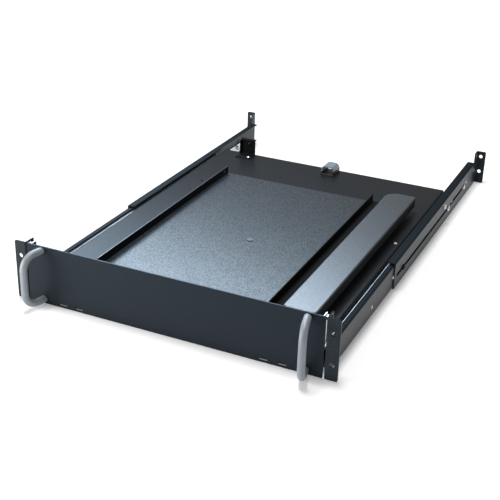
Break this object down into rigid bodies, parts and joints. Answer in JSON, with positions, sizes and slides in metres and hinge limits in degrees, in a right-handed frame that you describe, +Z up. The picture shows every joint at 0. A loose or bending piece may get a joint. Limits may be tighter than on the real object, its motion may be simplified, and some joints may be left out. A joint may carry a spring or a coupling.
{
  "type": "rack keyboard drawer",
  "caption": "Sliding rack drawer with slotted mounting rails, a fold-down front panel with bow handles, and a turning keyboard tray with a palm rest.",
  "frame": {"origin": "centre of the front rack-hole pattern, on the rear faces of the front ears", "axes": "+X across the rack to the right seen from the front, +Y from the front into the rack, +Z up"},
  "size_m": [0.4826, 0.7963, 0.0882],
  "materials": {
    "powder_black": "black powder coat with a fine texture",
    "zinc": "bright zinc plate",
    "ball_steel": "polished bearing steel",
    "handle_aluminium": "satin anodised",
    "palm_plastic": "fine matte grain",
    "white_nylon": "smooth nylon",
    "clip_plastic": "grey moulded plastic"
  },
  "bodies": {
    "rack_rails": {"front_bracket_right": "powder_black", "front_bracket_left": "powder_black", "rear_bracket_right": "powder_black", "rear_bracket_left": "powder_black", "outer_slide_right": "zinc", "outer_slide_left": "zinc", "adjusting_screws": "powder_black"},
    "middle_slides": {"middle_slide_right": "zinc", "middle_slide_left": "zinc"},
    "outer_ball_cages": {"outer_cage_right": "zinc", "outer_cage_left": "zinc", "outer_balls": "ball_steel"},
    "inner_ball_cages": {"inner_cage_right": "zinc", "inner_cage_left": "zinc", "inner_balls": "ball_steel"},
    "drawer": {"base_tray": "powder_black", "inner_slide_right": "zinc", "inner_slide_left": "zinc", "lower_ring": "powder_black", "slip_ring": "white_nylon", "glide_stud": "white_nylon", "cable_clip_saddle": "clip_plastic", "cable_clip_pin": "zinc", "cable_bracket": "powder_black", "hinge_base_leaves": "zinc", "hinge_pins": "zinc"},
    "fold_down_front": {"front_panel": "powder_black", "handles": "handle_aluminium", "hinge_panel_leaves": "zinc", "latch_studs": "zinc"},
    "latch_slide_right": {"latch_right": "zinc"},
    "latch_slide_left": {"latch_left": "zinc"},
    "keyboard_tray": {"keyboard_plate": "powder_black", "stop_strip": "powder_black", "palm_rest": "palm_plastic", "upper_ring": "powder_black", "pivot_bolt": "zinc", "pivot_washer": "zinc", "pivot_nut": "zinc"},
    "clip_lid": {"cable_clip_lid": "clip_plastic"}
  },
  "joints": [
    {"name": "drawer_slide", "type": "slide", "parent": "rack_rails", "child": "drawer", "axis": [0, -1, 0], "range_m": [0, 0.46]},
    {"name": "middle_slide_travel", "type": "slide", "parent": "rack_rails", "child": "middle_slides", "axis": [0, -1, 0], "range_m": [0, 0.23]},
    {"name": "outer_cage_travel", "type": "slide", "parent": "rack_rails", "child": "outer_ball_cages", "axis": [0, -1, 0], "range_m": [0, 0.115]},
    {"name": "inner_cage_travel", "type": "slide", "parent": "rack_rails", "child": "inner_ball_cages", "axis": [0, -1, 0], "range_m": [0, 0.345]},
    {"name": "tray_turn", "type": "hinge", "parent": "drawer", "child": "keyboard_tray", "pos_m": [0.012, 0.227, 0], "axis": [0, 0, 1], "range_deg": [-90, 0]},
    {"name": "panel_fold", "type": "hinge", "parent": "drawer", "child": "fold_down_front", "pos_m": [0, 0.0022, -0.03965], "axis": [1, 0, 0], "range_deg": [0, 90]},
    {"name": "latch_right_slide", "type": "slide", "parent": "fold_down_front", "child": "latch_slide_right", "axis": [1, 0, 0], "range_m": [0, 0.003]},
    {"name": "latch_left_slide", "type": "slide", "parent": "fold_down_front", "child": "latch_slide_left", "axis": [-1, 0, 0], "range_m": [0, 0.003]},
    {"name": "clip_open", "type": "hinge", "parent": "drawer", "child": "clip_lid", "pos_m": [-0.0028, 0.571, 0.00245], "axis": [0, -1, 0], "range_deg": [0, 100]}
  ],
  "couplings": [
    {"joint": "middle_slide_travel", "follows": "drawer_slide", "ratio": 0.5},
    {"joint": "outer_cage_travel", "follows": "drawer_slide", "ratio": 0.25},
    {"joint": "inner_cage_travel", "follows": "drawer_slide", "ratio": 0.75},
    {"joint": "panel_fold", "follows": "tray_turn", "ratio": -1}
  ]
}
